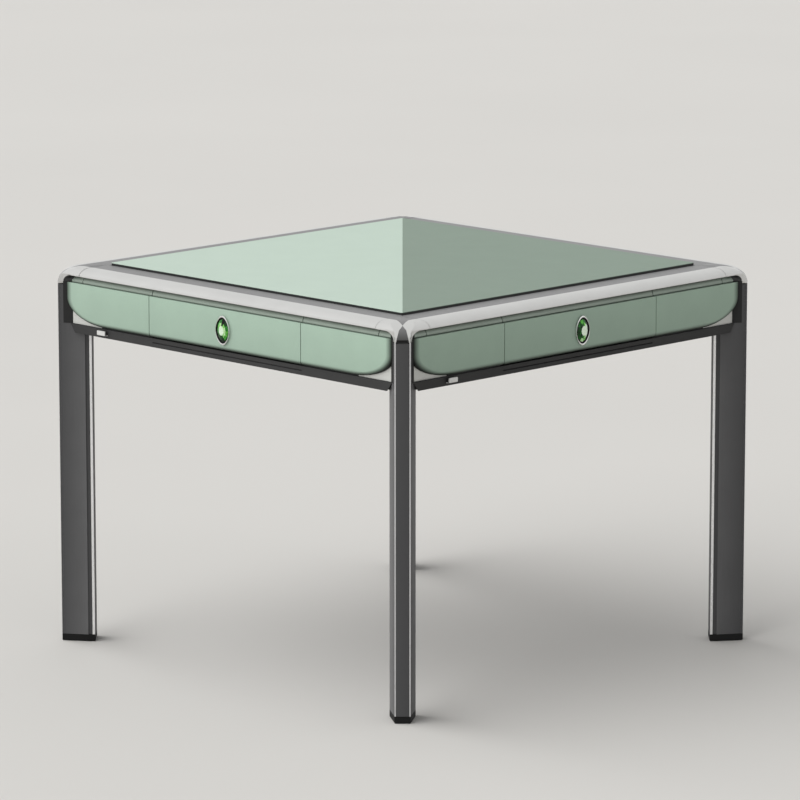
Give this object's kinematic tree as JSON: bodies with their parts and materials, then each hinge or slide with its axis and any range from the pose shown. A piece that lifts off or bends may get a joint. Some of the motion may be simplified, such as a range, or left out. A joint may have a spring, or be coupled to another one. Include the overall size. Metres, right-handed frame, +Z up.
{
  "type": "mahjong table",
  "caption": "Square automatic mahjong table on diagonal corner legs, with a flat dining cover, tile lifts, a mixing turntable and a drawer with an oval knob in every side.",
  "frame": {"origin": "on the floor, under the middle of the table", "axes": "+Z up, +X and +Y square to the sides; side 1 faces -Y, side 2 +X, side 3 +Y and side 4 -X"},
  "size_m": [0.98, 0.98, 0.76],
  "materials": {
    "dark_anodised": "satin dark grey anodised extrusion",
    "bright_trim": "bright brushed edge strip",
    "black_rubber": "moulded black feet",
    "cast_silver": "painted silver casting",
    "rim_silver": "painted satin silver",
    "rail_dark": "dark grey powder coat",
    "mint_metallic": "pale green metallic paint",
    "strip_grey_green": "grey green metallic paint",
    "pale_sheet": "pale grey sheet",
    "zinc_steel": "zinc plated steel",
    "port_silver": "silver socket housing",
    "black_plastic": "black moulded plastic",
    "knob_chrome": "bright plated bezel",
    "knob_crystal": "green cut crystal, foil backed",
    "grey_plastic": "grey moulded plastic",
    "cover_core": "board with black edge banding",
    "cover_light": "satin laminate, light half",
    "cover_dark": "satin laminate, dark half",
    "deck_board": "sealed board",
    "green_felt": "green felt",
    "clear_dome": "clear dome",
    "machine_steel": "grey painted steel"
  },
  "bodies": {
    "table": {"leg_1": "dark_anodised", "leg_2": "dark_anodised", "leg_3": "dark_anodised", "leg_4": "dark_anodised", "leg_trims": "bright_trim", "leg_shoes": "black_rubber", "corner_casting_1": "cast_silver", "corner_casting_2": "cast_silver", "corner_casting_3": "cast_silver", "corner_casting_4": "cast_silver", "top_rim_1": "rim_silver", "top_rim_2": "rim_silver", "top_rim_3": "rim_silver", "top_rim_4": "rim_silver", "base_rails": "rail_dark", "side_fronts": "mint_metallic", "trim_strips": "strip_grey_green", "side_skirts": "pale_sheet", "corner_brackets": "zinc_steel", "leg_bolts": "zinc_steel", "charging_ports": "port_silver", "drawer_guides": "grey_plastic", "playing_deck": "deck_board", "playing_felt": "green_felt", "lift_guides": "black_plastic", "drum_wall": "grey_plastic", "centre_hub": "bright_trim", "drive_motor": "machine_steel", "bottom_tray": "black_plastic", "control_box": "black_plastic"},
    "drawer_1": {"drawer_front_1": "mint_metallic", "drawer_box_1": "black_plastic", "knob_bezel_1": "knob_chrome", "knob_gem_1": "knob_crystal"},
    "drawer_2": {"drawer_front_2": "mint_metallic", "drawer_box_2": "black_plastic", "knob_bezel_2": "knob_chrome", "knob_gem_2": "knob_crystal"},
    "drawer_3": {"drawer_front_3": "mint_metallic", "drawer_box_3": "black_plastic", "knob_bezel_3": "knob_chrome", "knob_gem_3": "knob_crystal"},
    "drawer_4": {"drawer_front_4": "mint_metallic", "drawer_box_4": "black_plastic", "knob_bezel_4": "knob_chrome", "knob_gem_4": "knob_crystal"},
    "cover": {"cover_board": "cover_core", "cover_light_half": "cover_light", "cover_dark_half": "cover_dark"},
    "console": {"console_column": "grey_plastic", "console_cap": "black_plastic", "dice_dome": "clear_dome"},
    "start_button": {"start_button": "port_silver"},
    "lift_1": {"lift_tray_1": "grey_plastic"},
    "lift_2": {"lift_tray_2": "grey_plastic"},
    "lift_3": {"lift_tray_3": "grey_plastic"},
    "lift_4": {"lift_tray_4": "grey_plastic"},
    "turntable": {"turntable": "grey_plastic"},
    "drive_roller": {"drive_roller": "black_rubber"},
    "power_switch": {"power_switch": "black_plastic"}
  },
  "joints": [
    {"name": "drawer_slide_1", "type": "slide", "parent": "table", "child": "drawer_1", "axis": [0, -1, 0], "range_m": [0, 0.11]},
    {"name": "drawer_slide_2", "type": "slide", "parent": "table", "child": "drawer_2", "axis": [1, 0, 0], "range_m": [0, 0.11]},
    {"name": "drawer_slide_3", "type": "slide", "parent": "table", "child": "drawer_3", "axis": [0, 1, 0], "range_m": [0, 0.11]},
    {"name": "drawer_slide_4", "type": "slide", "parent": "table", "child": "drawer_4", "axis": [-1, 0, 0], "range_m": [0, 0.11]},
    {"name": "cover_lift", "type": "slide", "parent": "table", "child": "cover", "axis": [0, 0, 1], "range_m": [0, 0.25]},
    {"name": "console_rise", "type": "slide", "parent": "table", "child": "console", "axis": [0, 0, 1], "range_m": [0, 0.04]},
    {"name": "start_press", "type": "slide", "parent": "console", "child": "start_button", "axis": [0, 0, -1], "range_m": [0, 0.0015], "stiffness_N_per_m": 400, "springref_m": -0.001},
    {"name": "lift_drop_1", "type": "slide", "parent": "table", "child": "lift_1", "axis": [0, 0, 1], "range_m": [-0.045, 0]},
    {"name": "lift_drop_2", "type": "slide", "parent": "table", "child": "lift_2", "axis": [0, 0, 1], "range_m": [-0.045, 0]},
    {"name": "lift_drop_3", "type": "slide", "parent": "table", "child": "lift_3", "axis": [0, 0, 1], "range_m": [-0.045, 0]},
    {"name": "lift_drop_4", "type": "slide", "parent": "table", "child": "lift_4", "axis": [0, 0, 1], "range_m": [-0.045, 0]},
    {"name": "turntable_spin", "type": "hinge", "parent": "table", "child": "turntable", "pos_m": [0, 0, 0.65], "axis": [0, 0, 1], "continuous": true},
    {"name": "roller_spin", "type": "hinge", "parent": "table", "child": "drive_roller", "pos_m": [0.19, 0, 0.6328], "axis": [1, 0, 0], "continuous": true},
    {"name": "switch_rock", "type": "hinge", "parent": "table", "child": "power_switch", "pos_m": [-0.337, 0.354, 0.615], "axis": [0, -1, 0], "range_deg": [0, 16]}
  ],
  "couplings": [
    {"joint": "console_rise", "follows": "cover_lift", "ratio": 0.16},
    {"joint": "lift_drop_2", "follows": "lift_drop_1", "ratio": 1},
    {"joint": "lift_drop_3", "follows": "lift_drop_1", "ratio": 1},
    {"joint": "lift_drop_4", "follows": "lift_drop_1", "ratio": 1},
    {"joint": "roller_spin", "follows": "turntable_spin", "ratio": -12.667}
  ]
}
